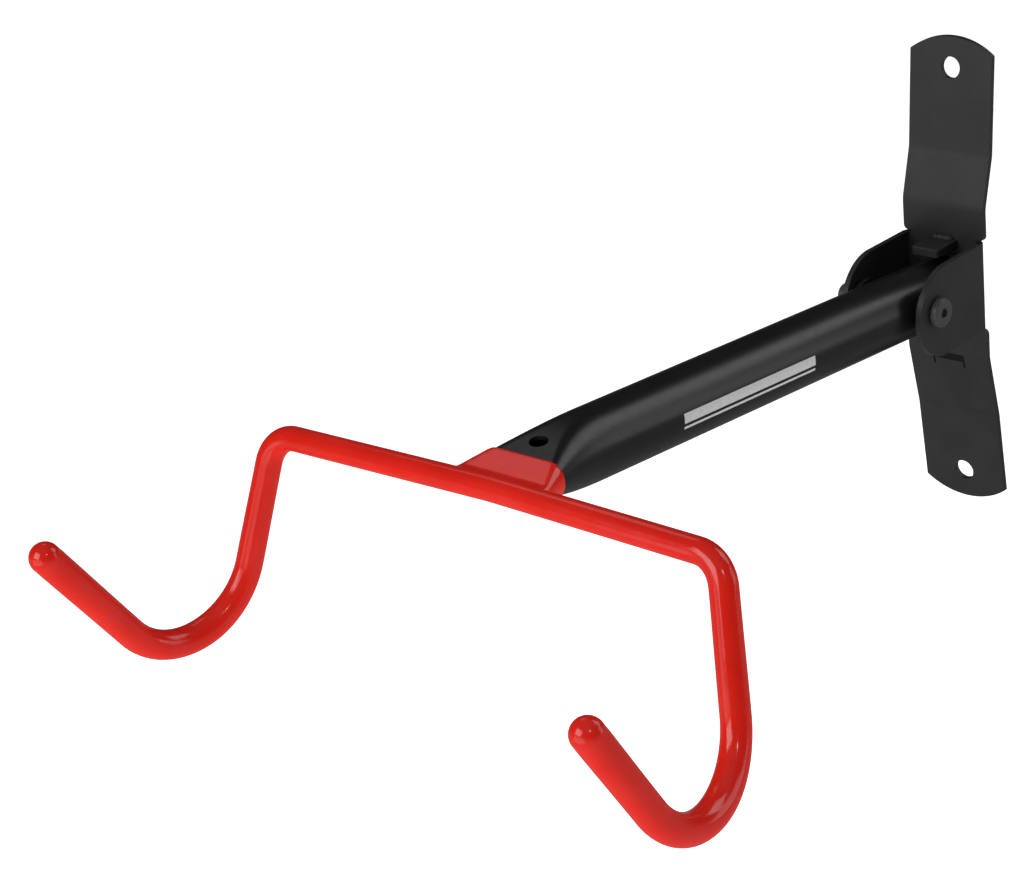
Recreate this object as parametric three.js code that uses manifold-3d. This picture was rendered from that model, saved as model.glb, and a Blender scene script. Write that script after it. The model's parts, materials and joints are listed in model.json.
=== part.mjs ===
// Bicycle wall rack: a stamped wall bracket, a folding tube arm on a through bolt, and a bent hook rod
// welded across the arm's flattened end under a dipped soft coating.
// Millimetres. X runs along the wall, +Y into the wall, +Z up. The wall is the plane Y = 0, and the
// origin lies on it behind the middle of the arm's pivot bolt.
import * as THREE from 'three'
import { mergeVertices } from 'three/addons/utils/BufferGeometryUtils.js'
import Module from 'manifold-3d'

const wasm = await Module()
wasm.setup()

// ---- driving dimensions -------------------------------------------------------------------------
const gap = 0.3 // left between pieces that touch

// wall bracket: one stamping of flat bar
const barWidth = 40
const plate = 2.5
const webBack = -11.1 // the middle stands clear of the wall
const backLine = [ // back face from the top down, as [y, z] corners
  [0, 103.3],
  [-4.8, 54.2],
  [webBack, 32.7],
  [webBack, -34.5],
  [-5, -63.4],
  [0, -107.9],
]
const joggleRadius = 14
const crown = 6.7 // rise of the rounded ends
const screwHole = 4.65 // radius
const screwFromEnd = 13.4 // hole centre to the tip of the rounded end
const earTop = 18.3
const earBottom = -20.9
const earFront = -62.4
const earTopCorner = 21
const earBottomCorner = 18
const bendOutside = 4
const reliefWidth = 4
const reliefHeight = 0.5
const windowHalf = 12.9 // lets the top of the arm's rear rim swing through the web; the rim hides it at rest
const windowTop = 9.45
const windowBottom = -9.45 // the web below it bears on the rim and stops the arm
const slotHalf = 8 // the slot in the lower joggle
const slotTop = -35.2
const slotBottom = -38.6
const lipHalf = 7.2 // the lip bent back from the slot's lower edge
const lipEnd = -5
const lipSlit = 3.2 // depth of the slits beside the lip's bend
const tabHalf = 6.9 // the stop tab, welded to the web over the arm's rear end
const tabFront = -28.3
const tabTop = 17.9
const tabThick = 4
const tabWeldLeg = 2
const tabWeldHalf = 5.6

// pivot: M8 button-head bolt, sleeve through the arm, plastic washers, lock nut
const pivotY = -49.7
const boltRadius = 3
const earHole = 3.4
const headRadius = 6.4
const headHeight = 3.2
const socketAcross = 4
const sleeveRadius = 6
const sideWasherRadius = 9
const nutAcross = 10
const nutHeight = 3.6
const lockRingHeight = 2.4
const nutWasherRadius = 6
const nutWasherThick = 0.9
const boltTail = 0.5

// arm: round tube, its front end pressed flat
const tubeRadius = 14.3
const tubeWall = 1.6
const armTilt = THREE.MathUtils.degToRad(4.45)
const axisBelowPivot = 1.5
const armRear = 40 // behind the pivot, before the end is cut parallel to the web
const armFront = 249.6 // ahead of the pivot, to the flattened edge
const flatHalf = 1.9 // half thickness of the flattened edge
const pressLength = 48 // from the flattened edge to the full round
const drainHole = 4 // radius
const drainFromEdge = 20

// hook rod: one bar with two bends a side, listed as the corners of its centre line
const rodRadius = 4
const barCentre = [0, -305.4, 18.1]
const leftHook = { shoulder: [-112.7, -304.6, 15.2], heel: [-124.8, -342, -91.7], tip: [-125.9, -413.7, 9.1] }
const rightHook = { shoulder: [106.1, -309, 18.4], heel: [139.4, -346.4, -100.2], tip: [124.1, -405.7, 7.9] }
const barBend = 90
const shoulderBend = 13
const heelBend = 32.4
const tipSetback = 4 // rod end to coating end
const weldBead = 0.9 // radius
const weldHalf = 17 // half length
const weldSpread = 1.3 // each bead above or below the bar's centre
const weldBehindBar = 5.4

// soft coating over the rod and the arm's edge, thicker towards the tips where it drained
const barCoat = 4.85 // outer radii
const legCoat = 5.15
const hookCoat = 5.8
const tipCoat = 6.1
const coatSplit = 25 // where the middle stretch of coating meets each hook's
const coatOnArm = 12 // reach over the flattened end
const coatThick = 0.85
const filletReach = 4 // how far the skin runs on past the arm's edge into the bar's coating

// ---- solids -------------------------------------------------------------------------------------
function toSolid (geometry) {
  const bare = geometry.clone()
  bare.deleteAttribute('normal')
  bare.deleteAttribute('uv')
  const merged = mergeVertices(bare, 1e-4)
  return new wasm.Manifold(new wasm.Mesh({
    numProp: 3,
    vertProperties: new Float32Array(merged.attributes.position.array),
    triVerts: new Uint32Array(merged.index.array),
  }))
}

function toGeometry (solid) {
  const mesh = solid.getMesh()
  const geometry = new THREE.BufferGeometry()
  geometry.setAttribute('position', new THREE.BufferAttribute(new Float32Array(mesh.vertProperties), 3))
  geometry.setIndex(new THREE.BufferAttribute(new Uint32Array(mesh.triVerts), 1))
  geometry.computeVertexNormals()
  return geometry
}

const join = (...parts) => parts.map(toSolid).reduce((sum, part) => sum.add(part))
const cut = (solid, ...tools) => tools.map(toSolid).reduce((left, tool) => left.subtract(tool), solid)

function box (low, high) {
  const size = high.map((value, i) => value - low[i])
  return new THREE.BoxGeometry(...size).translate(...high.map((value, i) => (value + low[i]) / 2))
}

function barAlongX (radius, from, to, sides = 24) {
  return new THREE.CylinderGeometry(radius, radius, to - from, sides).rotateZ(Math.PI / 2)
    .translate((from + to) / 2, 0, 0)
}

// An outline in the YZ plane, extruded along X between two faces.
function extrudeAlongX (outline, from, to) {
  const solid = new THREE.ExtrudeGeometry(outline, { depth: to - from, bevelEnabled: false, curveSegments: 8 })
  const turn = new THREE.Matrix4().makeBasis(
    new THREE.Vector3(0, 1, 0), new THREE.Vector3(0, 0, 1), new THREE.Vector3(1, 0, 0))
  return solid.applyMatrix4(turn).translate(from, 0, 0)
}

// An outline in the XZ plane, extruded along Y between two faces.
function extrudeAlongY (outline, from, to) {
  const solid = new THREE.ExtrudeGeometry(outline, { depth: to - from, bevelEnabled: false, curveSegments: 12 })
  return solid.rotateX(Math.PI / 2).translate(0, to, 0)
}

// Corners rounded by arcs: a list of [x, y, radius], as a closed outline.
function roundedOutline (corners) {
  const points = corners.map(([x, y]) => new THREE.Vector2(x, y))
  const outline = new THREE.Shape()
  points.forEach((corner, i) => {
    const before = points.at(i - 1).clone().sub(corner)
    const after = points[(i + 1) % points.length].clone().sub(corner)
    const half = Math.abs(before.angleTo(after)) / 2
    const back = corners[i][2] / Math.tan(half)
    const enter = corner.clone().addScaledVector(before.normalize(), back)
    const leave = corner.clone().addScaledVector(after.normalize(), back)
    if (i === 0) outline.moveTo(enter.x, enter.y)
    else outline.lineTo(enter.x, enter.y)
    if (back < 1e-6) return
    const inwards = before.clone().add(after).normalize()
    const centre = corner.clone().addScaledVector(inwards, corners[i][2] / Math.sin(half))
    const start = Math.atan2(enter.y - centre.y, enter.x - centre.x)
    const end = Math.atan2(leave.y - centre.y, leave.x - centre.x)
    const turnsLeft = before.cross(after) < 0
    outline.absarc(centre.x, centre.y, corners[i][2], start, end, !turnsLeft)
  })
  return outline.closePath()
}

// A bent rod's centre line: straight runs joined by round bends, from corner points and bend radii.
class BentLine {
  constructor (corners, radii) {
    const points = corners.map(corner => new THREE.Vector3(...corner))
    const turn = new THREE.Quaternion().setFromUnitVectors(
      new THREE.Vector3(0, 1, 0), points[1].clone().sub(points[0]).normalize())
    this.runs = []
    this.length = 0
    let point = points[0].clone()
    radii.forEach((radius, i) => {
      const into = points[i + 1].clone().sub(points[i]).normalize()
      const out = points[i + 2].clone().sub(points[i + 1]).normalize()
      const angle = into.angleTo(out)
      const setback = radius * Math.tan(angle / 2)
      const straight = point.distanceTo(points[i + 1]) - setback
      this.addRun({ point, turn: turn.clone(), length: straight, way: into })
      point = points[i + 1].clone().addScaledVector(into, -setback)
      const axis = into.clone().cross(out).normalize()
      const centre = point.clone().addScaledVector(axis.clone().cross(into), radius)
      this.addRun({ point, turn: turn.clone(), length: radius * angle, axis, centre, radius })
      turn.premultiply(new THREE.Quaternion().setFromAxisAngle(axis, angle))
      point = points[i + 1].clone().addScaledVector(out, setback)
    })
    const way = points.at(-1).clone().sub(points.at(-2)).normalize()
    this.addRun({ point, turn: turn.clone(), length: point.distanceTo(points.at(-1)), way })
  }

  addRun (run) {
    this.runs.push({ ...run, start: this.length })
    this.length += run.length
  }

  // The place and the turn of the cross-section at a distance along the line.
  at (distance) {
    const run = this.runs.findLast(each => each.start <= distance + 1e-9) ?? this.runs[0]
    const along = distance - run.start
    if (!run.axis) return { point: run.point.clone().addScaledVector(run.way, along), turn: run.turn }
    const swing = new THREE.Quaternion().setFromAxisAngle(run.axis, along / run.radius)
    const point = run.point.clone().sub(run.centre).applyQuaternion(swing).add(run.centre)
    return { point, turn: swing.multiply(run.turn) }
  }

  // Distances for the cross-sections: the ends of each run, and steps round each bend.
  stations (from, to, step = THREE.MathUtils.degToRad(16)) {
    const marks = [from, to]
    for (const run of this.runs) {
      const parts = run.axis ? Math.max(1, Math.round(run.length / run.radius / step)) : 1
      for (let i = 0; i < parts; i++) marks.push(run.start + run.length * i / parts)
    }
    return [...new Set(marks)].filter(mark => mark >= from && mark <= to).sort((a, b) => a - b)
  }
}

// A turned solid whose own axis is bent along a line: profile points are [radius, distance along].
function bendTurned (profile, line, sides = 14) {
  const turned = new THREE.LatheGeometry(profile.map(([r, s]) => new THREE.Vector2(r, s)), sides)
  const places = turned.attributes.position
  const vertex = new THREE.Vector3()
  for (let i = 0; i < places.count; i++) {
    const place = line.at(places.getY(i))
    vertex.set(places.getX(i), 0, places.getZ(i)).applyQuaternion(place.turn).add(place.point)
    places.setXYZ(i, vertex.x, vertex.y, vertex.z)
  }
  return turned
}

// ---- wall bracket -------------------------------------------------------------------------------
const webFront = webBack - plate

// Side view of the bar: the back line with rounded joggles, and the front line one plate in front.
function bracketSide () {
  const offsets = backLine.map((point, i) => {
    const before = new THREE.Vector2(...backLine[Math.max(i - 1, 0)])
    const here = new THREE.Vector2(...point)
    const after = new THREE.Vector2(...backLine[Math.min(i + 1, backLine.length - 1)])
    const into = (i > 0 ? here.clone().sub(before) : after.clone().sub(here)).normalize()
    const out = (i < backLine.length - 1 ? after.clone().sub(here) : into.clone()).normalize()
    const halfTurn = into.angleTo(out) / 2
    const normal = into.add(out).normalize().rotateAround(new THREE.Vector2(), -Math.PI / 2)
    return here.addScaledVector(normal, plate / Math.cos(halfTurn))
  })
  const ends = i => i === 0 || i === backLine.length - 1
  const bendOf = (i, outer) => ends(i) ? 0 : joggleRadius + (outer === bulgesForward(i) ? plate : 0)
  const back = backLine.map(([y, z], i) => [y, z, bendOf(i, false)])
  const front = offsets.map((point, i) => [point.x, point.y, bendOf(i, true)])
  return roundedOutline([...back, ...front.reverse()])
}

// The middle two bends bulge away from the wall, the outer two towards it.
function bulgesForward (i) {
  return i === 2 || i === 3
}

// Front view of the bar: rounded ends, and relief notches above and below the ears.
function bracketFront () {
  const half = barWidth / 2
  const crownRadius = (half * half + crown * crown) / (2 * crown)
  const sweep = Math.asin(half / crownRadius)
  const top = backLine[0][1]
  const bottom = backLine.at(-1)[1]
  const neck = half - reliefWidth
  const cornerRound = 2.5
  const right = [
    [half, earTop + reliefHeight, 1],
    [neck, earTop + reliefHeight, -1],
    [neck, earBottom - reliefHeight, -1],
    [half, earBottom - reliefHeight, 1],
  ]
  const outline = new THREE.Shape()
  outline.absarc(0, top - crownRadius, crownRadius, Math.PI / 2 + sweep, Math.PI / 2 - sweep, true)
  roundCorner(outline, right[0], cornerRound, [0, 1], [-1, 0])
  outline.lineTo(right[1][0], right[1][1])
  outline.lineTo(right[2][0], right[2][1])
  roundCorner(outline, right[3], cornerRound, [-1, 0], [0, -1])
  outline.absarc(0, bottom + crownRadius, crownRadius, -Math.PI / 2 + sweep, -Math.PI / 2 - sweep, true)
  roundCorner(outline, [-half, earBottom - reliefHeight], cornerRound, [0, -1], [1, 0])
  outline.lineTo(-neck, earBottom - reliefHeight)
  outline.lineTo(-neck, earTop + reliefHeight)
  roundCorner(outline, [-half, earTop + reliefHeight], cornerRound, [1, 0], [0, 1])
  return outline.closePath()
}

// A corner eased by a curve: back towards where the outline comes from, then on towards where it goes.
function roundCorner (outline, [x, z], radius, from, to) {
  outline.lineTo(x + from[0] * radius, z + from[1] * radius)
  outline.quadraticCurveTo(x, z, x + to[0] * radius, z + to[1] * radius)
}

// The two ears and the web between them: a U section, trimmed to the ears' side outline.
function earChannel () {
  const half = barWidth / 2
  const inner = half - plate
  const bendInside = bendOutside - plate
  const section = roundedOutline([
    [-half, earFront - 1, 0],
    [-inner, earFront - 1, 0],
    [-inner, webFront, bendInside],
    [inner, webFront, bendInside],
    [inner, earFront - 1, 0],
    [half, earFront - 1, 0],
    [half, webBack, bendOutside],
    [-half, webBack, bendOutside],
  ])
  const channel = new THREE.ExtrudeGeometry(section, {
    depth: earTop - earBottom, bevelEnabled: false, curveSegments: 5,
  }).translate(0, 0, earBottom)
  const side = roundedOutline([
    [1, earTop, 0],
    [earFront, earTop, earTopCorner],
    [earFront, earBottom, earBottomCorner],
    [1, earBottom, 0],
  ])
  return toSolid(channel).intersect(toSolid(extrudeAlongX(side, -half - 1, half + 1)))
}

// The lip under the slot: it leaves the lower leg and turns back towards the wall.
function lipSide () {
  const low = slotBottom - plate
  const foot = slotBottom - 5.4
  return roundedOutline([
    [-12.6, slotBottom, 2],
    [lipEnd, slotBottom, 0.4],
    [lipEnd, low, 0.4],
    [-9, low, 1],
    [-9.3, foot, 0],
    [-11.6, foot, 0],
  ])
}

// The window: a half circle above, rounded corners below.
function windowOutline () {
  const corner = windowHalf - 0.01
  return roundedOutline([
    [-windowHalf, windowTop, corner],
    [windowHalf, windowTop, corner],
    [windowHalf, windowBottom, 5.9],
    [-windowHalf, windowBottom, 5.9],
  ])
}

function slotOutline () {
  return roundedOutline([
    [-slotHalf, slotTop, 0.8],
    [slotHalf, slotTop, 0.8],
    [slotHalf, slotBottom, 0.3],
    [-slotHalf, slotBottom, 0.3],
  ])
}

// A screw hole square to the leg that it goes through.
function screwCutter (end, inner) {
  const alongLeg = new THREE.Vector3(0, inner[0] - end[0], inner[1] - end[1]).normalize()
  const centre = new THREE.Vector3(0, ...end).addScaledVector(alongLeg, screwFromEnd)
  const tilt = Math.atan2(alongLeg.y, Math.abs(alongLeg.z)) * Math.sign(alongLeg.z)
  return new THREE.CylinderGeometry(screwHole, screwHole, 20, 32).rotateX(-tilt)
    .translate(centre.x, centre.y, centre.z)
}

function wallBracket () {
  const half = barWidth / 2
  const bar = toSolid(extrudeAlongX(bracketSide(), -half, half))
    .intersect(toSolid(extrudeAlongY(bracketFront(), -30, 10)))
  const through = outline => extrudeAlongY(outline, webFront - 3, webBack + 3)
  const opened = cut(bar.add(earChannel()), through(windowOutline()), through(slotOutline()))
  const stamped = opened.add(toSolid(extrudeAlongX(lipSide(), -lipHalf, lipHalf)))
  const slits = [-1, 1].map(side => box(
    [side > 0 ? lipHalf : -slotHalf, webFront - 3, slotBottom - lipSlit],
    [side > 0 ? slotHalf : -lipHalf, webBack + 3, slotBottom + 1]))
  return cut(stamped,
    ...slits,
    screwCutter(backLine[0], backLine[1]),
    screwCutter(backLine.at(-1), backLine.at(-2)),
    barAlongX(earHole, -half - 1, half + 1).translate(0, pivotY, 0))
}

// The stop tab, a flat plate with two rounded corners that stands out over the arm's rear end.
function stopTab () {
  const outline = roundedOutline([
    [-tabHalf, webFront - gap, 0],
    [tabHalf, webFront - gap, 0],
    [tabHalf, tabFront, 1.5],
    [-tabHalf, tabFront, 1.5],
  ])
  return new THREE.ExtrudeGeometry(outline, { depth: tabThick, bevelEnabled: false, curveSegments: 4 })
    .translate(0, 0, tabTop - tabThick)
}

// The fillet weld in the corner between the web and the top of the tab.
function tabWeld () {
  const back = webFront - gap
  const low = tabTop + gap
  return extrudeAlongX(roundedOutline([
    [back, low, 0],
    [back, low + tabWeldLeg, 0],
    [back - tabWeldLeg * 0.7, low + tabWeldLeg * 0.7, 0.8],
    [back - tabWeldLeg, low, 0],
  ]), -tabWeldHalf, tabWeldHalf)
}

// ---- pivot --------------------------------------------------------------------------------------
const headFace = barWidth / 2 + gap
const washerFace = -barWidth / 2 - gap
const nutFace = washerFace - nutWasherThick - gap
const boltEnd = nutFace - nutHeight - lockRingHeight - boltTail
const earInner = barWidth / 2 - plate

function turnedAlongX (profile, sides = 24) {
  return new THREE.LatheGeometry(profile.map(([r, x]) => new THREE.Vector2(r, x)), sides).rotateZ(-Math.PI / 2)
}

function ring (outer, inner, from, to, sides = 24) {
  return turnedAlongX([[inner, from], [outer, from], [outer, to], [inner, to], [inner, from]], sides)
}

function pivotBolt () {
  const shoulder = headHeight * 0.3
  const dome = [1, 2, 3].map(i => {
    const swing = (i / 3) * Math.PI / 2
    const rise = headHeight - shoulder
    return [headRadius * (1 - 0.14 * (1 - Math.cos(swing))), headFace + shoulder + rise * Math.sin(swing)]
  })
  const body = turnedAlongX([
    [0, boltEnd],
    [boltRadius - 0.6, boltEnd],
    [boltRadius, boltEnd + 0.8],
    [boltRadius, headFace],
    [headRadius - 0.3, headFace],
    [headRadius, headFace + 0.4],
    [headRadius, headFace + shoulder],
    ...dome,
    [0, headFace + headHeight],
  ])
  const socketRadius = socketAcross / 2 / Math.cos(Math.PI / 6)
  const socket = barAlongX(socketRadius, headFace + 1.6, headFace + headHeight + 1, 6)
  return cut(toSolid(body), socket)
}

function pivotNut () {
  const cornerRadius = nutAcross / 2 / Math.cos(Math.PI / 6)
  const hexagon = barAlongX(cornerRadius, nutFace - nutHeight, nutFace, 6)
  const collar = barAlongX(nutAcross / 2 - 0.3, nutFace - nutHeight - lockRingHeight, nutFace - 1)
  return cut(join(hexagon, collar),
    barAlongX(boltRadius + gap, nutFace - 20, nutFace + 1),
    barAlongX(nutAcross / 2 - 0.9, nutFace - nutHeight - lockRingHeight - 1, nutFace - nutHeight + 0.2))
}

function lockRing () {
  const from = nutFace - nutHeight - lockRingHeight + 0.2
  return ring(nutAcross / 2 - 1.2, boltRadius + gap, from, nutFace - nutHeight - 0.1)
}

// ---- arm ----------------------------------------------------------------------------------------
// Half thickness of the pressed tube at a distance back from its flattened edge.
function pressedHalf (fromEdge, radius) {
  const part = Math.min(Math.max(fromEdge / pressLength, 0), 1)
  const edge = flatHalf - (tubeRadius - radius)
  return edge + (radius - edge) * Math.sin(part * Math.PI / 2)
}

// Moves a point of a round section onto a flat-sided oval of the same girth.
function pressPoint (x, z, half, girthRadius, inset) {
  const radius = Math.hypot(x, z)
  if (radius < 1e-9) return [0, 0]
  const straight = Math.PI / 2 * (girthRadius - inset - half)
  const quarter = straight + Math.PI / 2 * half
  const round = Math.atan2(Math.abs(z), Math.abs(x))
  const walked = round / (Math.PI / 2) * quarter
  const onArc = Math.min(walked / half, Math.PI / 2)
  const px = straight - Math.max(walked - Math.PI / 2 * half, 0) + half * Math.cos(onArc)
  return [Math.sign(x) * px, Math.sign(z) * half * Math.sin(onArc)]
}

// A tube pressed flat at its front: stations are distances back from the flattened edge.
function pressedTube (stations, outset, hollow) {
  const outer = stations.map(s => new THREE.Vector2(tubeRadius, s))
  const inner = [...stations].reverse().map(s => new THREE.Vector2(tubeRadius - tubeWall, s))
  const profile = hollow
    ? [...outer, ...inner, outer[0]]
    : [new THREE.Vector2(0, stations[0]), ...outer, new THREE.Vector2(0, stations.at(-1))]
  const tube = new THREE.LatheGeometry(profile, 32)
  const places = tube.attributes.position
  for (let i = 0; i < places.count; i++) {
    const x = places.getX(i)
    const z = places.getZ(i)
    const radius = Math.hypot(x, z)
    const inset = tubeRadius - radius
    const fromEdge = places.getY(i)
    const half = pressedHalf(fromEdge, tubeRadius) - (hollow ? inset : 0) + outset
    const girth = tubeRadius + outset
    const [px, pz] = pressPoint(x, z, half, girth, hollow ? inset : 0)
    places.setXYZ(i, px, fromEdge, pz)
  }
  return tube
}

// From the arm's own frame, Y back from the flattened edge, to its place on the rack.
function placeOnArm (geometry) {
  return geometry.translate(0, -armFront, -axisBelowPivot).rotateX(-armTilt).translate(0, pivotY, 0)
}

function pressStations (count) {
  return Array.from({ length: count + 1 }, (_, i) => pressLength * (i / count) ** 1.4)
}

// Its rear end is cut parallel to the web, which it bears on.
function armTube () {
  const stations = [...pressStations(8), armFront + armRear]
  const drain = new THREE.CylinderGeometry(drainHole, drainHole, 60, 20).rotateX(Math.PI / 2)
    .scale(1, 0.8, 1).translate(0, drainFromEdge, 0)
  return cut(toSolid(placeOnArm(pressedTube(stations, 0, true))),
    placeOnArm(drain),
    box([-20, webFront - gap, -30], [20, webFront + 20, 20]),
    barAlongX(sleeveRadius + gap, -20, 20).translate(0, pivotY, 0))
}

// ---- hook rod and its coating -------------------------------------------------------------------
function hookLine () {
  const corners = [leftHook.tip, leftHook.heel, leftHook.shoulder, barCentre,
    rightHook.shoulder, rightHook.heel, rightHook.tip]
  return new BentLine(corners, [heelBend, shoulderBend, barBend, shoulderBend, heelBend])
}

function hookRod () {
  const line = hookLine()
  const from = tipSetback
  const to = line.length - tipSetback
  const marks = line.stations(from, to)
  return bendTurned([[0, from], ...marks.map(s => [rodRadius, s]), [0, to]], line)
}

// One of the two beads that join the bar to the arm's flattened edge, over and under.
function weld (side) {
  return barAlongX(weldBead, -weldHalf, weldHalf, 8)
    .translate(0, barCentre[1] + weldBehindBar, barCentre[2] + side * weldSpread)
}

// One side's line, from the middle of the bar out to the tip.
function sideLine (hook) {
  return new BentLine([barCentre, hook.shoulder, hook.heel, hook.tip], [shoulderBend, heelBend])
}

// Coating radius along one side: the runs are bar, shoulder, leg, heel and tip.
function coatRadius (line, distance) {
  const [, shoulder, leg, heel, tip] = line.runs.map(run => run.start)
  const marks = [[0, barCoat], [shoulder, barCoat], [leg, legCoat], [heel, legCoat + 0.2],
    [(heel + tip) / 2, hookCoat], [tip, hookCoat], [line.length, tipCoat]]
  const i = Math.max(marks.findIndex(([mark]) => mark >= distance), 1)
  const part = (distance - marks[i - 1][0]) / (marks[i][0] - marks[i - 1][0])
  return THREE.MathUtils.lerp(marks[i - 1][1], marks[i][1], part)
}

function hookCoating (hook) {
  const line = sideLine(hook)
  const shellEnd = line.length - tipCoat
  const marks = line.stations(coatSplit + gap / 2, shellEnd)
  const outside = marks.map(s => [coatRadius(line, s), s])
  const dome = [1, 2].map(i => {
    const swing = (i / 3) * Math.PI / 2
    return [tipCoat * Math.cos(swing), shellEnd + tipCoat * Math.sin(swing)]
  })
  const boreEnd = line.length - tipSetback + gap
  const bore = [...line.stations(coatSplit + gap / 2, boreEnd)].reverse().map(s => [rodRadius + gap, s])
  const closing = [outside[0]]
  const profile = [...outside, ...dome, [0, line.length], [0, boreEnd], ...bore, ...closing]
  return bendTurned(profile, line)
}

// The middle stretch: a sleeve on the bar and a skin over the arm's flattened end.
function middleCoating () {
  const left = sideLine(leftHook)
  const right = sideLine(rightHook)
  const reach = coatSplit - gap / 2
  const rounds = (radius, from, to) => [left, right].map(line =>
    bendTurned([[0, from], [radius, from], [radius, to], [0, to]], line))
  const shared = pressStations(8)
  const overStations = [-filletReach, ...shared.filter(s => s < coatOnArm - 1), coatOnArm]
  const cutStations = [-gap, ...shared.filter(s => s < coatOnArm + 10)]
  const skin = placeOnArm(pressedTube(overStations, coatThick, false))
  const outer = join(...rounds(barCoat, 0, reach), skin)
  const weldRoom = box(
    [-weldHalf - gap, barCentre[1] + rodRadius - 1, barCentre[2] - weldSpread - weldBead - gap],
    [weldHalf + gap, barCentre[1] + weldBehindBar + 2, barCentre[2] + weldSpread + weldBead + gap])
  const armRoom = placeOnArm(pressedTube(cutStations, gap, false))
  return cut(outer, ...rounds(rodRadius + gap, -1, coatSplit + 1), armRoom, weldRoom)
}

// ---- the rack -----------------------------------------------------------------------------------
const finish = (color, roughness, metalness) => new THREE.MeshStandardMaterial({ color, roughness, metalness })
const bracketPaint = finish(0x2b2c2d, 0.55, 0.1)
const armPaint = finish(0x1c1d1e, 0.35, 0.1)
const boltBlack = finish(0x3a3b3c, 0.45, 0.7)
const blackNylon = finish(0x1a1a1b, 0.6, 0)
const steel = finish(0x8d8f91, 0.4, 0.9)
const softRed = finish(0xc4221a, 0.3, 0)

const rack = new THREE.Group()

function place (name, shape, material, position = [0, 0, 0]) {
  const geometry = shape instanceof THREE.BufferGeometry ? shape : toGeometry(shape)
  const mesh = new THREE.Mesh(geometry, material)
  mesh.name = name
  mesh.position.set(...position)
  rack.add(mesh)
}

const atPivot = [0, pivotY, 0]
const washerInner = tubeRadius + gap
const washerOuter = earInner - gap
place('wall_bracket', wallBracket(), bracketPaint)
place('stop_tab', stopTab(), bracketPaint)
place('tab_weld', tabWeld(), bracketPaint)
place('pivot_bolt', pivotBolt(), boltBlack, atPivot)
place('pivot_nut', pivotNut(), boltBlack, atPivot)
place('nut_lock_ring', lockRing(), blackNylon, atPivot)
const nutWasher = ring(nutWasherRadius, boltRadius + gap, washerFace - nutWasherThick, washerFace)
place('nut_washer', nutWasher, boltBlack, atPivot)
place('pivot_sleeve', ring(sleeveRadius, boltRadius + gap, -earInner + gap, earInner - gap), steel, atPivot)
const sideWasherRight = ring(sideWasherRadius, sleeveRadius + gap, washerInner, washerOuter)
const sideWasherLeft = ring(sideWasherRadius, sleeveRadius + gap, -washerOuter, -washerInner)
place('side_washer_right', sideWasherRight, blackNylon, atPivot)
place('side_washer_left', sideWasherLeft, blackNylon, atPivot)
place('arm_tube', armTube(), armPaint)
place('hook_rod', hookRod(), steel)
place('weld_bead_top', weld(1), steel)
place('weld_bead_bottom', weld(-1), steel)
place('arm_end_coating', middleCoating(), softRed)
place('left_hook_coating', hookCoating(leftHook), softRed)
place('right_hook_coating', hookCoating(rightHook), softRed)

export default rack
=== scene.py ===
"""Looks of a bicycle wall rack: a stamped bracket, a folding tube arm and a bent rod in a dipped coating."""
import json
import math

import bmesh
import bpy
from mathutils import Matrix, Quaternion, Vector


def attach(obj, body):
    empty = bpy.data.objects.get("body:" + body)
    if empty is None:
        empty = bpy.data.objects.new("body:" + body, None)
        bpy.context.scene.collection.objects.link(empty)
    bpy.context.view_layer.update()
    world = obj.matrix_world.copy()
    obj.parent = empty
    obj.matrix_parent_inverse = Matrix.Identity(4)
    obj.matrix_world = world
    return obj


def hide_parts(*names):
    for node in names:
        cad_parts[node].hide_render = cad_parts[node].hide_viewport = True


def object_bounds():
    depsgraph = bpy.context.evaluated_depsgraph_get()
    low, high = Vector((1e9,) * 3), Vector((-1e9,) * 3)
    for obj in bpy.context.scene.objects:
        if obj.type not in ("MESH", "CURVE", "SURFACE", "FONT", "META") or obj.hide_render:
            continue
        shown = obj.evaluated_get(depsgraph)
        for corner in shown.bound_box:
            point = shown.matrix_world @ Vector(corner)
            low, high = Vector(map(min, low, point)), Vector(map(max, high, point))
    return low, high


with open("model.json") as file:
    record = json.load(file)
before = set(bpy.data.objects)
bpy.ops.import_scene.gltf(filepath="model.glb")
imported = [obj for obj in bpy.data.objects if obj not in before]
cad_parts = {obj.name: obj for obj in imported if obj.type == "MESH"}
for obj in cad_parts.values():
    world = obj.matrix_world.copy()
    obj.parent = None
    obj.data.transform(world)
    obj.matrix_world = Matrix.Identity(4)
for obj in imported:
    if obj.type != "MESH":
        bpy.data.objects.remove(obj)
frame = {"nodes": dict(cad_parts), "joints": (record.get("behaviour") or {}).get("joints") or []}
cad_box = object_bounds()

# ---- driving dimensions, in millimetres, the same as the CAD model's ------------------------------
MM = 0.001
pivot = Vector(frame["joints"][0]["pos_m"]) / MM

bar_width = 40
plate = 2.5
web_back = -11.1
back_line = [(0, 103.3), (-4.8, 54.2), (web_back, 32.7), (web_back, -34.5), (-5, -63.4), (0, -107.9)]
joggle_radius = 14
crown = 6.7
screw_hole = 4.65
screw_from_end = 13.4
ear_top, ear_bottom, ear_front = 18.3, -20.9, -62.4
ear_top_corner, ear_bottom_corner = 21, 18
bend_outside = 4
relief_width, relief_height = 4, 0.5
relief_mouth_corner, relief_root_corner = 2.2, 0.4
window_half, window_top, window_bottom = 12.9, 9.45, -9.45
window_foot_corner = 5.9
slot_half, slot_top, slot_bottom = 8, -35.2, -38.6
lip_half, lip_end, lip_slit = 7.2, -5, 3.2
lip_root = 5.4
leg_front_at_lip, leg_back_at_lip = -12.6, -9
tab_half, tab_front, tab_top, tab_thick = 6.9, -28.3, 17.9, 4
tab_weld_leg, tab_weld_half = 2, 5.6
tab_corner = 1.5
ear_hole = 3.4
edge_round = 0.35

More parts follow.
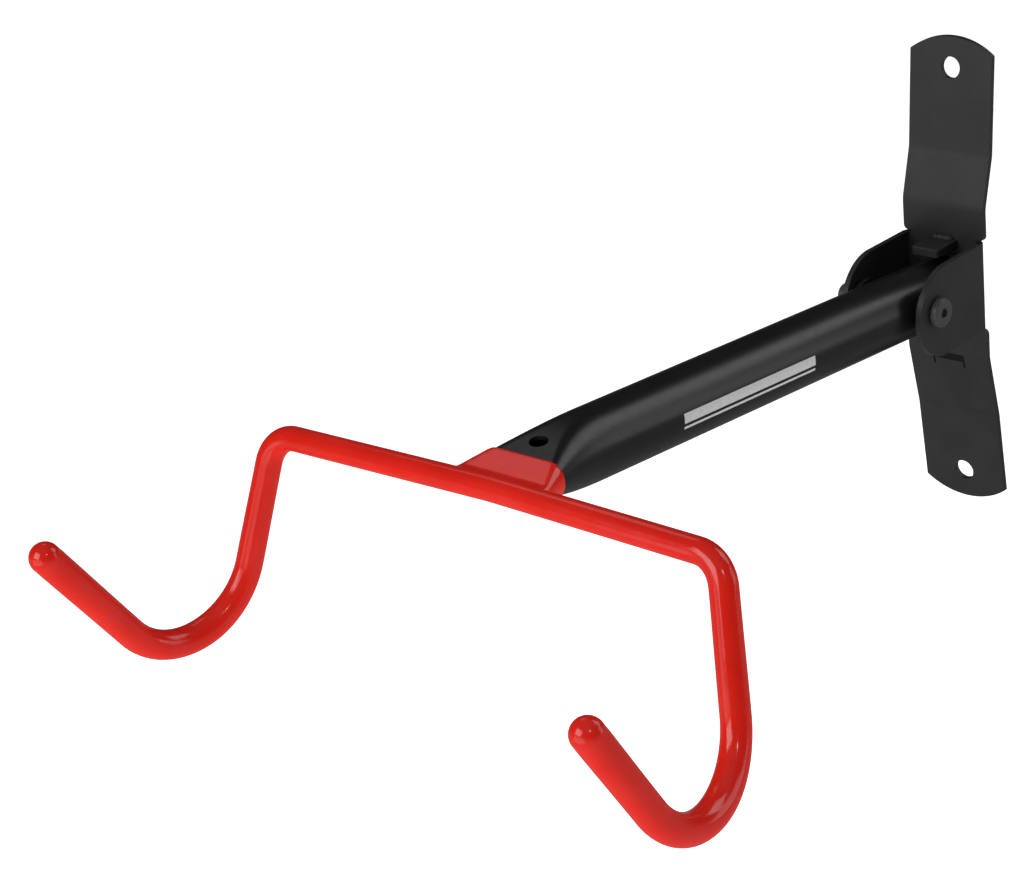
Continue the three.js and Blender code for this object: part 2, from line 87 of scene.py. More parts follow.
touch = 0.3
bolt_radius = 3
head_radius, head_height = 6.4, 3.2
socket_across, socket_floor = 4, 1.6
nut_across, nut_height, lock_ring_height = 10, 3.6, 2.4
nut_washer_radius, nut_washer_thick = 6, 0.9
bolt_tail = 0.5
thread_pitch, thread_depth = 1.0, 0.5
sleeve_radius, side_washer_radius = 6, 9

tube_radius, tube_wall = 14.3, 1.6
arm_tilt = math.radians(4.45)
axis_below_pivot = 1.5
arm_rear, arm_front = 40, 249.6
flat_half = 1.9
press_length = 48
drain_hole, drain_from_edge = 4, 20
stripe_start, stripe_end = 87, 171
stripe_lift = 0.04

bar_centre = (0, -305.4, 18.1)
left_hook = [(-112.7, -304.6, 15.2), (-124.8, -342, -91.7), (-125.9, -413.7, 9.1)]
right_hook = [(106.1, -309, 18.4), (139.4, -346.4, -100.2), (124.1, -405.7, 7.9)]
shoulder_bend, heel_bend = 13, 32.4
bar_coat, leg_coat, hook_coat, tip_coat = 4.85, 5.15, 5.8, 6.1
coat_on_arm = 12
coat_thick = 0.85
fillet_reach = 4
tip_crease, crease_before_dome, crease_width = 0.12, 1.2, 0.9
skin_voxel, skin_swell = 0.55, 0.08


# ---- meshes ---------------------------------------------------------------------------------------
def new_object(name, mesh):
    piece = bpy.data.objects.new(name, mesh)
    bpy.context.scene.collection.objects.link(piece)
    return piece


def from_faces(name, points, faces):
    """A mesh object from points in millimetres."""
    mesh = bpy.data.meshes.new(name)
    mesh.from_pydata([Vector(p) * MM for p in points], [], faces)
    shape = bmesh.new()
    shape.from_mesh(mesh)
    bmesh.ops.remove_doubles(shape, verts=shape.verts, dist=1e-7)
    bmesh.ops.recalc_face_normals(shape, faces=shape.faces)
    shape.to_mesh(mesh)
    shape.free()
    return new_object(name, mesh)


def loft(name, rings, closed=False):
    """Skin over rings of points: with end caps, or closed on itself as a torus is."""
    count = len(rings[0])
    points = [p for ring in rings for p in ring]
    faces = []
    pairs = len(rings) if closed else len(rings) - 1
    for i in range(pairs):
        a, b = i * count, ((i + 1) % len(rings)) * count
        faces += [(a + k, a + (k + 1) % count, b + (k + 1) % count, b + k) for k in range(count)]
    if not closed:
        faces += [tuple(range(count)), tuple(range(len(points) - count, len(points)))]
    return from_faces(name, points, faces)


def circle(count):
    return [(math.cos(2 * math.pi * k / count), math.sin(2 * math.pi * k / count)) for k in range(count)]


def turned(name, profile, sides=64):
    """A solid of revolution about X from (radius, x) points that start and end on the axis or meet."""
    rings = [[(x, r * c, r * s) for c, s in circle(sides)] for r, x in profile]
    return loft(name, rings, closed=profile[0] == profile[-1] or profile[0][0] > 0)


def rounded(corners, step=math.radians(6)):
    """A closed outline from (u, v, radius) corners, with arcs of small steps."""
    outline = []
    for i, (u, v, radius) in enumerate(corners):
        here = Vector((u, v))
        before = (Vector(corners[i - 1][:2]) - here).normalized()
        after = (Vector(corners[(i + 1) % len(corners)][:2]) - here).normalized()
        if radius == 0:
            outline.append(here)
            continue
        half = before.angle(after) / 2
        centre = here + (before + after).normalized() * radius / math.sin(half)
        enter = here + before * radius / math.tan(half) - centre
        leave = here + after * radius / math.tan(half) - centre
        turn = math.atan2(enter.x * leave.y - enter.y * leave.x, enter.dot(leave))
        steps = max(1, round(abs(turn) / step))
        outline += [centre + Matrix.Rotation(turn * k / steps, 2) @ enter for k in range(steps + 1)]
    return outline


def prism(name, outline, place, low, high):
    """An outline extruded between two heights: place(u, v, w) gives the point."""
    return loft(name, [[place(p[0], p[1], w) for p in outline] for w in (low, high)])


def along_x(u, v, w):
    return (w, u, v)


def along_y(u, v, w):
    return (u, w, v)


def along_z(u, v, w):
    return (u, v, w)


def modified(piece):
    """Applies the piece's modifiers to its mesh."""
    graph = bpy.context.evaluated_depsgraph_get()
    mesh = bpy.data.meshes.new_from_object(piece.evaluated_get(graph))
    piece.modifiers.clear()
    piece.data = mesh
    return piece


def combine(piece, operation, *tools):
    """Joins, cuts or intersects the piece with the tools, which are then gone."""
    for tool in tools:
        step = piece.modifiers.new(operation, "BOOLEAN")
        step.operation = operation
        step.solver = "EXACT"
        step.object = tool
        modified(piece)
        bpy.data.objects.remove(tool)
    return piece


def soften(piece, width=edge_round, segments=3, limit=30):
    """Small rounds on the sharp edges, so that they catch light, and smooth shading."""
    bevel = piece.modifiers.new("edges", "BEVEL")
    bevel.width = width * MM
    bevel.segments = segments
    bevel.limit_method = "ANGLE"
    bevel.angle_limit = math.radians(limit)
    bevel.harden_normals = True
    smooth(piece)
    return modified(piece)


def smooth(piece, angle=35):
    piece.data.shade_smooth()
    piece.data.set_sharp_from_angle(angle=math.radians(angle))


def finish_piece(piece, body, material, slot, *nodes):
    piece.data.materials.clear()
    piece.data.materials.append(material)
    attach(piece, body)
    if nodes:
        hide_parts(*nodes)


class BentLine:
    """A bent rod's centre line: straight runs joined by round bends."""

    def __init__(self, corners, radii):
        points = [Vector(c) for c in corners]
        turn = Vector((0, 1, 0)).rotation_difference(points[1] - points[0])
        self.runs = []
        self.length = 0
        point = points[0]
        for i, radius in enumerate(radii):
            way = (points[i + 1] - points[i]).normalized()
            out = (points[i + 2] - points[i + 1]).normalized()
            angle = way.angle(out)
            setback = radius * math.tan(angle / 2)
            straight = (points[i + 1] - point).length - setback
            self.add_run(point=point, turn=turn, length=straight, way=way, radius=0)
            point = points[i + 1] - way * setback
            axis = way.cross(out).normalized()
            centre = point + axis.cross(way) * radius
            self.add_run(point=point, turn=turn, length=radius * angle, axis=axis, centre=centre,
                         radius=radius)
            turn = Quaternion(axis, angle) @ turn
            point = points[i + 1] + out * setback
        way = (points[-1] - points[-2]).normalized()
        self.add_run(point=point, turn=turn, length=(points[-1] - point).length, way=way, radius=0)

    def add_run(self, **run):
        self.runs.append(dict(run, start=self.length))
        self.length += run["length"]

    def at(self, distance):
        """The place and the turn of the cross-section at a distance along the line."""
        run = [r for r in self.runs if r["start"] <= distance + 1e-9][-1]
        along = distance - run["start"]
        if not run["radius"]:
            return run["point"] + run["way"] * along, run["turn"]
        swing = Quaternion(run["axis"], along / run["radius"])
        return run["centre"] + swing @ (run["point"] - run["centre"]), swing @ run["turn"]

    def ring(self, distance, radius, sides):
        place, turn = self.at(distance)
        return [place + turn @ Vector((radius * c, 0, radius * s)) for c, s in circle(sides)]


# ---- materials ------------------------------------------------------------------------------------
def new_material(name, colour, roughness, metallic=0.0, **sockets):
    material = bpy.data.materials.new(name)
    material.use_nodes = True
    shader = material.node_tree.nodes["Principled BSDF"]
    shader.inputs["Base Color"].default_value = (*colour, 1)
    shader.inputs["Roughness"].default_value = roughness
    shader.inputs["Metallic"].default_value = metallic
    for socket, value in sockets.items():
        shader.inputs[socket.replace("_", " ")].default_value = value
    return material


def noise(material, scale, detail=2.0):
    """Noise fixed to the piece: scale is in cells per metre."""
    nodes, links = material.node_tree.nodes, material.node_tree.links
    coords = nodes.new("ShaderNodeTexCoord")
    texture = nodes.new("ShaderNodeTexNoise")
    texture.inputs["Scale"].default_value = scale
    texture.inputs["Detail"].default_value = detail
    links.new(coords.outputs["Object"], texture.inputs["Vector"])
    return texture.outputs["Fac"]


def ramp(material, factor, low, high, low_at=0.35, high_at=0.65):
    nodes, links = material.node_tree.nodes, material.node_tree.links
    blend = nodes.new("ShaderNodeValToRGB")
    blend.color_ramp.elements[0].position = low_at
    blend.color_ramp.elements[0].color = (*low, 1)
    blend.color_ramp.elements[1].position = high_at
    blend.color_ramp.elements[1].color = (*high, 1)
    links.new(factor, blend.inputs["Fac"])
    return blend.outputs["Color"]


def drive(material, socket, output):
    shader = material.node_tree.nodes["Principled BSDF"]
    material.node_tree.links.new(output, shader.inputs[socket])


def bump(material, *layers):
    """Bumps in layers of (height output, strength, distance in millimetres)."""
    nodes, links = material.node_tree.nodes, material.node_tree.links
    normal = None
    for height, strength, distance in layers:
        node = nodes.new("ShaderNodeBump")
        node.inputs["Strength"].default_value = strength
        node.inputs["Distance"].default_value = distance * MM
        links.new(height, node.inputs["Height"])
        if normal:
            links.new(normal, node.inputs["Normal"])
        normal = node.outputs["Normal"]
    drive(material, "Normal", normal)


def grey(value):
    return (value, value, value * 1.03)


def powder_coat(name, shade, roughness, grain):
    """Powder coat: fine orange peel, cloudy gloss."""
    material = new_material(name, grey(shade), roughness)
    clouds = noise(material, 60, 4)
    drive(material, "Base Color", ramp(material, clouds, grey(shade * 0.88), grey(shade * 1.12)))
    gloss = noise(material, 300)
    drive(material, "Roughness", ramp(material, gloss, grey(roughness - 0.02), grey(roughness + 0.02)))
    bump(material, (noise(material, grain, 3), 0.12, 0.03))
    return material


def dipped_vinyl(name):
    """Glossy soft vinyl that ran a little as it set."""
    red = (0.70, 0.017, 0.009)
    material = new_material(name, red, 0.16, IOR=1.5)
    clouds = noise(material, 35, 3)
    drive(material, "Base Color", ramp(material, clouds, (0.67, 0.015, 0.008), (0.73, 0.019, 0.01)))
    drive(material, "Roughness", ramp(material, noise(material, 120), grey(0.12), grey(0.2)))
    bump(material, (noise(material, 45, 1), 0.2, 0.5), (noise(material, 1400, 2), 0.08, 0.02))
    return material


def plated(name, shade, roughness):
    """Bare steel: a clouded shine with fine marks."""
    material = new_material(name, grey(shade), roughness, metallic=1.0)
    clouds = noise(material, 400, 4)
    drive(material, "Base Color", ramp(material, clouds, grey(shade * 0.8), grey(shade * 1.1)))
    gloss = noise(material, 900)
    drive(material, "Roughness", ramp(material, gloss, grey(roughness * 0.8), grey(roughness * 1.3)))
    bump(material, (noise(material, 2500, 2), 0.2, 0.02))
    return material


def moulded(name, colour):
    """Black nylon with a faint moulded grain."""
    material = new_material(name, colour, 0.5)
    drive(material, "Base Color", ramp(material, noise(material, 260), colour, [c * 1.4 for c in colour]))
    drive(material, "Roughness", ramp(material, noise(material, 500), grey(0.42), grey(0.58)))
    bump(material, (noise(material, 1800, 2), 0.2, 0.02))
    return material


def printed(name):
    """Thin silver-grey print on the arm."""
    material = new_material(name, grey(0.55), 0.4)
    specks = noise(material, 1500, 3)
    drive(material, "Base Color", ramp(material, specks, grey(0.5), grey(0.6)))
    bump(material, (noise(material, 1800, 3), 0.15, 0.02))
    return material


bracket_paint = powder_coat("bracket_paint", 0.017, 0.5, 1500)
arm_paint = powder_coat("arm_paint", 0.007, 0.3, 2200)
bolt_black = powder_coat("bolt_black", 0.045, 0.42, 2600)
vinyl = dipped_vinyl("soft_red_vinyl")
steel = plated("bare_steel", 0.42, 0.4)
nylon = moulded("black_nylon", (0.004, 0.004, 0.004))
print_grey = printed("print_grey")


# ---- bracket --------------------------------------------------------------------------------------
web_front = web_back - plate
half_width = bar_width / 2


def bar_side():
    """Side view of the bar: the back line with rounded joggles, and the front line a plate in front."""
    last = len(back_line) - 1
    back, front = [], []
    for i, (y, z) in enumerate(back_line):
        here = Vector((y, z))
        into = (here - Vector(back_line[max(i - 1, 0)])).normalized()
        out = (Vector(back_line[min(i + 1, last)]) - here).normalized()
        into = out if i == 0 else into
        out = into if i == last else out
        middle = (into + out).normalized()
        forward = Vector((middle.y, -middle.x))
        edge = here + forward * plate / math.cos(into.angle(out) / 2)
        inner_bend = i in (2, 3)
        inside = 0 if i in (0, last) else joggle_radius
        outside = 0 if i in (0, last) else joggle_radius + plate
        back.append((y, z, inside if inner_bend else outside))
        front.append((edge.x, edge.y, outside if inner_bend else inside))
    return rounded(back + front[::-1], math.radians(2))


def crown_arc(end, side):
    """The rounded end of the bar, left to right at the top and right to left at the bottom."""
    radius = (half_width ** 2 + crown ** 2) / (2 * crown)
    sweep = math.asin(half_width / radius)
    steps = 28
    angles = [sweep * (1 - 2 * k / steps) for k in range(steps + 1)]
    return [(-side * radius * math.sin(a), end + side * radius * (math.cos(a) - 1), 0) for a in angles]


def bar_front():
    """Front view of the bar: rounded ends, and relief notches above and below the ears."""
    neck = half_width - relief_width
    upper, lower = ear_top + relief_height, ear_bottom - relief_height
    mouth, root = relief_mouth_corner, relief_root_corner
    right = [(half_width, upper, mouth), (neck, upper, root), (neck, lower, root), (half_width, lower, mouth)]
    left = [(-u, v, r) for u, v, r in right[::-1]]
    return rounded(crown_arc(back_line[0][1], 1) + right + crown_arc(back_line[-1][1], -1) + left)


def ear_channel():
    """The web between the joggles with both ears, bent forward from it."""
    inner = half_width - plate
    far = ear_front - 1
    section = rounded([
        (-half_width, far, 0), (-inner, far, 0),
        (-inner, web_front, bend_outside - plate), (inner, web_front, bend_outside - plate),
        (inner, far, 0), (half_width, far, 0),
        (half_width, web_back, bend_outside), (-half_width, web_back, bend_outside)])
    side = rounded([
        (1, ear_top, 0), (ear_front, ear_top, ear_top_corner),
        (ear_front, ear_bottom, ear_bottom_corner), (1, ear_bottom, 0)], math.radians(4))
    channel = prism("channel", section, along_z, ear_bottom - 1, ear_top + 1)
    return combine(channel, "INTERSECT", prism("ears", side, along_x, -half_width - 1, half_width + 1))


def lip():
    """The lip under the slot, bent back towards the wall."""
    low, foot = slot_bottom - plate, slot_bottom - lip_root
    side = rounded([
        (leg_front_at_lip, slot_bottom, 2), (lip_end, slot_bottom, 0.4), (lip_end, low, 0.4),
        (leg_back_at_lip, low, 1), (leg_back_at_lip - 0.3, foot, 0), (leg_front_at_lip + 1, foot, 0)])
    return prism("lip", side, along_x, -lip_half, lip_half)


def opening(name, low, high, top_corner, bottom_corner):
    """A cutter through the web, between two corners (x, z)."""
    outline = rounded([
        (low[0], high[1], top_corner), (high[0], high[1], top_corner),
        (high[0], low[1], bottom_corner), (low[0], low[1], bottom_corner)])
    return prism(name, outline, along_y, web_front - 3, web_back + 3)


def slit(side):
    """A cutter for the narrow slit beside the lip's bend."""
    near, far = sorted((side * lip_half, side * slot_half))
    return opening("slit", (near, slot_bottom - lip_slit), (far, slot_bottom + 1), 0, 0.3)


def screw_cutter(end, inner):
    """A cutter for a screw hole square to its leg."""
    along_leg = (Vector(inner) - Vector(end)).normalized()
    centre = Vector(end) + along_leg * screw_from_end
    across = Vector((along_leg.y, -along_leg.x))
    rings = []
    for depth in (-10, 10):
        middle = centre + across * depth
        rings.append([(screw_hole * c, middle.x + along_leg.x * screw_hole * s,
                       middle.y + along_leg.y * screw_hole * s) for c, s in circle(64)])
    return loft("screw_cutter", rings)


def rod_cutter(radius, low, high, sides=64):
    """A round cutter along the pivot's axis."""
    rings = [[(x, pivot.y + radius * c, pivot.z + radius * s) for c, s in circle(sides)] for x in (low, high)]
    return loft("cutter", rings)


def wall_bracket():
    bar = prism("bracket_stamping", bar_side(), along_x, -half_width, half_width)
    combine(bar, "INTERSECT", prism("outline", bar_front(), along_y, -30, 10))
    combine(bar, "UNION", ear_channel())
    combine(bar, "DIFFERENCE",
            opening("window", (-window_half, window_bottom), (window_half, window_top),
                    window_half - 0.01, window_foot_corner),
            opening("slot", (-slot_half, slot_bottom), (slot_half, slot_top), 0.8, 0.3))
    combine(bar, "UNION", lip())
    combine(bar, "DIFFERENCE",
            slit(-1), slit(1),
            screw_cutter(back_line[0], back_line[1]),
            screw_cutter(back_line[-1], back_line[-2]),
            rod_cutter(ear_hole, -half_width - 1, half_width + 1))
    soften(bar)
    finish_piece(bar, "bracket", bracket_paint, "bracket_paint", "wall_bracket")


def stop_tab():
    """The plate welded to the web over the arm's rear end, with rounded front corners."""
    outline = rounded([
        (-tab_half, web_front - touch, 0), (tab_half, web_front - touch, 0),
        (tab_half, tab_front, tab_corner), (-tab_half, tab_front, tab_corner)])
    tab = soften(prism("stop_tab_plate", outline, along_z, tab_top - tab_thick, tab_top), 0.5)
    finish_piece(tab, "bracket", bracket_paint, "bracket_paint", "stop_tab")


def tab_weld():
    """A short uneven fillet of weld along the tab's root."""
    back, low = web_front, tab_top
    rings = []
    count = 44
    for k in range(count + 1):
        x = tab_weld_half * (2 * k / count - 1)
        swell = 0.85 + 0.05 * math.sin(k * 0.9) + 0.05 * math.sin(k * 0.4)
        leg = (tab_weld_leg + touch) * swell * math.sqrt(max(1 - (x / tab_weld_half) ** 6, 0.04))
        quarter = [t * math.pi / 16 for t in range(9)]
        arc = [(x, back - leg * math.cos(a), low + leg * math.sin(a)) for a in quarter]
        hidden = [(x, back + 0.2, low + leg), (x, back + 0.2, low - 0.2), (x, back - leg, low - 0.2)]
        rings.append(arc + hidden)
    bead = loft("tab_weld_bead", rings)
    smooth(bead, 60)
    finish_piece(bead, "bracket", bracket_paint, "bracket_paint", "tab_weld")


# ---- pivot ----------------------------------------------------------------------------------------
head_face = half_width + touch
washer_face = -half_width - touch
nut_face = washer_face - nut_washer_thick - touch
nut_end = nut_face - nut_height
bolt_end = nut_end - lock_ring_height - bolt_tail


def at_pivot(piece):
    piece.data.transform(Matrix.Translation(pivot * MM))
    return piece


def hexagon_prism(name, across, low, high):
    """A hexagon along the bolt, of a given width across its flats."""
    corner = across / 2 / math.cos(math.pi / 6)
    return loft(name, [[(x, corner * c, corner * s) for c, s in circle(6)] for x in (low, high)])


def pivot_bolt():
    """A low round head with a hexagon socket, and a thread at the nut's end."""
    shoulder = head_height * 0.3
    dome = []
    for k in range(13):
        swing = k / 12 * math.pi / 2
        dome.append((head_radius * (1 - 0.14 * (1 - math.cos(swing))),
                     head_face + shoulder + (head_height - shoulder) * math.sin(swing)))
    profile = [(0, bolt_end), (bolt_radius - 0.7, bolt_end), (bolt_radius, bolt_end + 0.8)]
    thread_end = -half_width + 4
    turns = int((thread_end - bolt_end - 2) / thread_pitch)
    for k in range(turns):
        start = bolt_end + 1 + k * thread_pitch
        profile += [(bolt_radius, start + 0.2), (bolt_radius - thread_depth, start + thread_pitch / 2),
                    (bolt_radius, start + thread_pitch - 0.2)]
    profile += [(bolt_radius, head_face), (head_radius - 0.35, head_face), (head_radius, head_face + 0.35)]
    profile += dome + [(0, head_face + head_height)]
    bolt = turned("button_head_bolt", profile, 72)
    socket = hexagon_prism("socket", socket_across, head_face + socket_floor, head_face + head_height + 1)
    combine(bolt, "DIFFERENCE", socket)
    at_pivot(soften(bolt, 0.18, 2, 40))
    finish_piece(bolt, "bracket", bolt_black, "bolt_black", "pivot_bolt")


def pivot_nut():
    """A hexagon nut with chamfered corners and the collar that holds the lock ring."""
    corner = nut_across / 2 / math.cos(math.pi / 6)
    nut = hexagon_prism("lock_nut", nut_across, nut_end, nut_face)
    easing = [(0, nut_end - 0.1), (corner - 1.1, nut_end - 0.1), (corner + 0.1, nut_end + 0.7),
              (corner + 0.1, nut_face - 0.7), (corner - 1.1, nut_face + 0.1), (0, nut_face + 0.1)]
    combine(nut, "INTERSECT", turned("easing", easing))
    collar_radius = nut_across / 2 - 0.3
    collar_end = nut_end - lock_ring_height
    collar = [(0, collar_end), (collar_radius - 0.5, collar_end), (collar_radius, collar_end + 0.6),
              (collar_radius, nut_face - 1), (0, nut_face - 1)]
    combine(nut, "UNION", turned("collar", collar))
    bore_radius = bolt_radius + touch
    bore = [(0, nut_face - 20), (bore_radius, nut_face - 20), (bore_radius, nut_face + 1), (0, nut_face + 1)]
    pocket_radius = nut_across / 2 - 0.9
    pocket = [(0, nut_end - 5), (pocket_radius, nut_end - 5), (pocket_radius, nut_end + 0.2),
              (0, nut_end + 0.2)]
    combine(nut, "DIFFERENCE", turned("bore", bore), turned("pocket", pocket))
    at_pivot(soften(nut, 0.2, 2, 40))
    finish_piece(nut, "bracket", bolt_black, "bolt_black", "pivot_nut")


def ring_piece(name, outer, inner, low, high, material, slot_name, node, ease=0.25):
    """A washer, ring or sleeve about the pivot with eased edges."""
    profile = [(inner, low + ease), (inner + ease, low), (outer - ease, low), (outer, low + ease),
               (outer, high - ease), (outer - ease, high), (inner + ease, high), (inner, high - ease)]
    piece = at_pivot(turned(name, profile))
    smooth(piece, 50)
    finish_piece(piece, "bracket", material, slot_name, node)


def pivot_rings():
    ear_inner = half_width - plate
    side_inner, side_outer = tube_radius + touch, ear_inner - touch
    ring_piece("lock_ring", nut_across / 2 - 1.2, bolt_radius + 0.05, nut_end - lock_ring_height + 0.2,
               nut_end - 0.1, nylon, "black_nylon", "nut_lock_ring")
    ring_piece("plain_washer", nut_washer_radius, bolt_radius + touch, washer_face - nut_washer_thick,
               washer_face, bolt_black, "bolt_black", "nut_washer")
    ring_piece("spacer_sleeve", sleeve_radius, bolt_radius + touch, -ear_inner + touch, ear_inner - touch,
               steel, "steel", "pivot_sleeve")
    ring_piece("right_thrust_washer", side_washer_radius, sleeve_radius + touch, side_inner, side_outer,
               nylon, "black_nylon", "side_washer_right")
    ring_piece("left_thrust_washer", side_washer_radius, sleeve_radius + touch, -side_outer, -side_inner,
               nylon, "black_nylon", "side_washer_left")


# ---- arm ------------------------------------------------------------------------------------------
def pressed_half(from_edge):
    """Half thickness of the pressed tube at a distance back from its flattened edge."""
    part = min(max(from_edge / press_length, 0), 1)
    return flat_half + (tube_radius - flat_half) * math.sin(part * math.pi / 2)


def pressed_ring(from_edge, inset, sides):
    """A flat-sided oval of the tube's girth, inset from its outside; a negative inset stands proud."""
    outer_half = pressed_half(from_edge)
    half = max(outer_half - inset, 0.25)
    straight = math.pi / 2 * (tube_radius - outer_half)
    quarter = straight + math.pi / 2 * half
    ring = []
    for c, s in circle(sides):
        walked = math.atan2(abs(s), abs(c)) / (math.pi / 2) * quarter
        on_arc = min(walked / half, math.pi / 2)
        x = straight - max(walked - math.pi / 2 * half, 0) + half * math.cos(on_arc)
        ring.append(on_arm(math.copysign(x, c), from_edge, math.copysign(half * math.sin(on_arc), s)))
    return ring


def on_arm(x, from_edge, z):
    """From the arm's own frame, with distances back from the flattened edge, to its place on the rack."""
    local = Vector((x, from_edge - arm_front, z - axis_below_pivot))
    return pivot + Matrix.Rotation(-arm_tilt, 3, "X") @ local


def web_side():
    """The space behind the arm's rear end, which is cut parallel to the web."""
    near, far = web_front - touch, web_front + 20
    return prism("web_side", [(near, -30), (far, -30), (far, 20), (near, 20)], along_x, -20, 20)


def arm_tube():
    sides = 128
    pressed = [press_length * (k / 40) ** 1.3 for k in range(41)]
    rear = arm_front + arm_rear
    plain = [press_length + (rear - press_length) * k / 12 for k in range(1, 13)]
    stations = pressed + plain
    outer = [pressed_ring(s, 0, sides) for s in stations]
    inner = [pressed_ring(s, tube_wall, sides) for s in stations[::-1]]
    tube = loft("arm_tube_shell", outer + inner, closed=True)
    drain = [[on_arm(drain_hole * c, drain_from_edge + drain_hole * 0.8 * s, z) for c, s in circle(48)]
             for z in (-30, 30)]
    sleeve_hole = rod_cutter(sleeve_radius + touch, -half_width, half_width)
    combine(tube, "DIFFERENCE", loft("drain", drain), sleeve_hole, web_side())
    soften(tube, 0.3, 2, 40)
    finish_piece(tube, "arm", arm_paint, "arm_paint", "arm_tube")


def stripe(name, low_angle, high_angle, start, end):
    """A thin printed stripe on the arm's side, between two angles round the tube."""
    steps = 12
    angles = [low_angle + (high_angle - low_angle) * k / steps for k in range(steps + 1)]
    outer, inner = tube_radius + stripe_lift, tube_radius - stripe_lift
    section = [(outer * math.cos(a), outer * math.sin(a)) for a in angles]
    section += [(inner * math.cos(a), inner * math.sin(a)) for a in angles[::-1]]
    rings = [[on_arm(x, from_edge, z) for x, z in section] for from_edge in (start, end)]
    piece = loft(name, rings)
    smooth(piece)
    finish_piece(piece, "arm", print_grey, "arm_paint")


def arm_stripes():
    """Two plain stripes where the arm is printed."""
    stripe("arm_stripe_wide", math.radians(-4), math.radians(12), stripe_start, stripe_end)
    stripe("arm_stripe_narrow", math.radians(-13), math.radians(-9), stripe_start, stripe_end)


# ---- coating --------------------------------------------------------------------------------------
def blend_marks(marks, distance):
    """A smooth value between (distance, value) marks."""
    for (a, low), (b, high) in zip(marks, marks[1:]):
        if distance <= b:
            part = (distance - a) / (b - a)
            return low + (high - low) * (3 * part ** 2 - 2 * part ** 3)
    return marks[-1][1]


def coat_half(name, hook):
    """One hook's coating from the middle of the bar to a domed tip."""
    line = BentLine([bar_centre] + hook, [shoulder_bend, heel_bend])
    _, shoulder, leg, heel, tip = [run["start"] for run in line.runs]
    marks = [(0, bar_coat), (shoulder, bar_coat), (leg, leg_coat), (heel, leg_coat + 0.2),
             ((heel + tip) / 2, hook_coat), (tip, hook_coat), (line.length, tip_coat)]
    dome_start = line.length - tip_coat
    sides = 48
    count = 240
    rings = []
    for k in range(count + 1):
        along = dome_start * k / count
        crease = tip_crease * math.exp(-((along - dome_start + crease_before_dome) / crease_width) ** 2)
        rings.append(line.ring(along, blend_marks(marks, along) - crease, sides))
    for k in range(1, 16):
        swing = k / 15 * math.pi / 2
        radius = max(tip_coat * math.cos(swing), 0.05)
        rings.append(line.ring(dome_start + tip_coat * math.sin(swing) * 0.999, radius, sides))
    return loft(name, rings)


def arm_end_skin():
    """The coating over the arm's flattened end, thinning at its rear edge."""
    sides = 96
    stations = [-fillet_reach] + [coat_on_arm * k / 10 for k in range(10)]
    rings = [pressed_ring(s, -coat_thick, sides) for s in stations]
    rings.append(pressed_ring(coat_on_arm - 0.25, -coat_thick * 0.85, sides))
    rings.append(pressed_ring(coat_on_arm, -coat_thick * 0.4, sides))
    return loft("skin", rings)


def dipped_coating():
    """One continuous skin over the rod and the arm's flattened end."""
    left = coat_half("dipped_coating", left_hook)
    right = coat_half("right_half", right_hook)
    for other in (right, arm_end_skin()):
        shape = bmesh.new()
        shape.from_mesh(left.data)
        shape.from_mesh(other.data)
        shape.to_mesh(left.data)
        shape.free()
        bpy.data.objects.remove(other)
    remesh = left.modifiers.new("one_skin", "REMESH")
    remesh.mode = "VOXEL"
    remesh.voxel_size = skin_voxel * MM
    relax = left.modifiers.new("run_together", "SMOOTH")
    relax.factor = 0.5
    relax.iterations = 10
    swell = left.modifiers.new("make_up_for_the_relaxing", "DISPLACE")
    swell.strength = skin_swell * MM
    swell.mid_level = 0
    modified(left)
    left.data.shade_smooth()
    finish_piece(left, "arm", vinyl, "soft_red", "arm_end_coating", "left_hook_coating", "right_hook_coating")


# ---- kept CAD pieces --------------------------------------------------------------------------------
def finish_cad(name, material):
    """Keeps a hidden piece's CAD mesh and gives it a material."""
    node = frame["nodes"][name]
    node.data.materials.clear()
    node.data.materials.append(material)


# ---- studio -----------------------------------------------------------------------------------------
def camera():
    """A long lens, high on the rack's right, with a slight roll."""
    round_rack, above, roll = math.radians(43.71), math.radians(23.2), math.radians(-6.04)
    place = Vector((627.3, -948, 420.9)) * MM
    lens = bpy.data.cameras.new("camera")
    lens.sensor_width = 36
    lens.lens = 96.98
    eye = new_object("camera", lens)
    turn = (Matrix.Rotation(round_rack, 4, "Z") @ Matrix.Rotation(math.pi / 2 - above, 4, "X")
            @ Matrix.Rotation(roll, 4, "Z"))
    eye.matrix_world = Matrix.Translation(place) @ turn
    bpy.context.scene.camera = eye


def softbox(name, place, aim, width, height, power):
    """A rectangular lamp: distances in metres, power in watts."""
    light = bpy.data.lights.new(name, "AREA")
    light.shape = "RECTANGLE"
    light.size, light.size_y = width, height
    light.energy = power
    lamp = new_object(name, light)
    lamp.location = place
    lamp.rotation_euler = (Vector(aim) - Vector(place)).to_track_quat("-Z", "Y").to_euler()
    return lamp


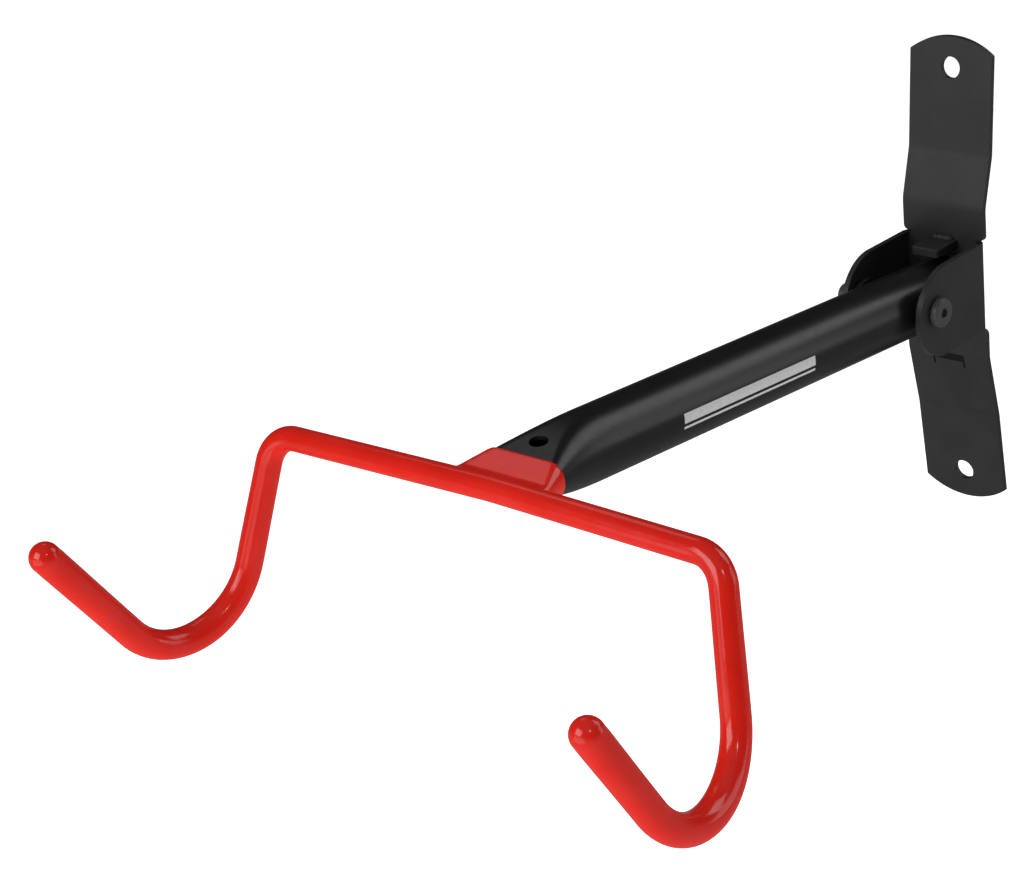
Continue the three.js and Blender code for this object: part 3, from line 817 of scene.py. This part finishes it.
def room():
    """The world: dim below the horizon and nearly dark above it."""
    world = bpy.data.worlds.new("room")
    world.use_nodes = True
    nodes, links = world.node_tree.nodes, world.node_tree.links
    coords = nodes.new("ShaderNodeTexCoord")
    split = nodes.new("ShaderNodeSeparateXYZ")
    blend = nodes.new("ShaderNodeValToRGB")
    shades = blend.color_ramp
    below, above = shades.elements
    below.position, below.color = 0.4, (0.17, 0.17, 0.17, 1)
    above.position, above.color = 0.52, (0.012, 0.012, 0.012, 1)
    overhead = shades.elements.new(0.95)
    overhead.color = (0.05, 0.05, 0.05, 1)
    height = nodes.new("ShaderNodeMapRange")
    height.inputs["From Min"].default_value = -1
    links.new(coords.outputs["Generated"], split.inputs["Vector"])
    links.new(split.outputs["Z"], height.inputs["Value"])
    links.new(height.outputs["Result"], blend.inputs["Fac"])
    links.new(blend.outputs["Color"], nodes["Background"].inputs["Color"])
    bpy.context.scene.world = world


def paper_floor():
    """Bright paper below the rack. Gloss on the rack mirrors the room in its place."""
    reach, below_rack = 7000, 500
    drop = cad_box[0][2] / MM - below_rack
    corners = [(-reach, -reach, drop), (reach, -reach, drop), (reach, reach, drop), (-reach, reach, drop)]
    floor = from_faces("floor", corners, [(0, 1, 2, 3)])
    paper = new_material("floor_paper", (0.9, 0.9, 0.9), 0.9,
                         Emission_Color=(1, 1, 1, 1), Emission_Strength=0.97)
    bump(paper, (noise(paper, 200, 3), 0.05, 0.1))
    floor.data.materials.append(paper)
    floor.visible_glossy = False


def studio():
    """Paper below, a dim room, and lamps: key and fill in front, band, edge and top behind for the
    shine on the arm, a sky that the gloss doesn't mirror, and a small hard glint."""
    bpy.context.scene.view_settings.view_transform = "Standard"
    room()
    paper_floor()
    middle, arm, hooks = (0, -0.25, 0), (0, -0.15, 0), (0, -0.35, -0.03)
    softbox("key", (-0.5, -1.9, 0.9), middle, 1.3, 1.1, 16)
    softbox("band", (0.47, 0.97, 1.02), arm, 0.75, 0.9, 3.6)
    softbox("edge", (1.4, 1.17, 0.42), arm, 0.9, 1.1, 3.6)
    softbox("fill", (-0.2, -1.9, -0.3), hooks, 2.0, 1.0, 6)
    softbox("top", (-0.93, 0.3, 1.2), middle, 0.5, 0.5, 0.5)
    sky = softbox("sky", (0, -0.3, 2.2), middle, 3.0, 3.0, 26)
    sky.visible_glossy = False
    softbox("glint", (1.2, -0.9, 1.3), middle, 0.16, 0.16, 1.5)


camera()
studio()
wall_bracket()
stop_tab()
tab_weld()
pivot_bolt()
pivot_nut()
pivot_rings()
arm_tube()
arm_stripes()
dipped_coating()
finish_cad("hook_rod", steel)
finish_cad("weld_bead_top", steel)
finish_cad("weld_bead_bottom", steel)
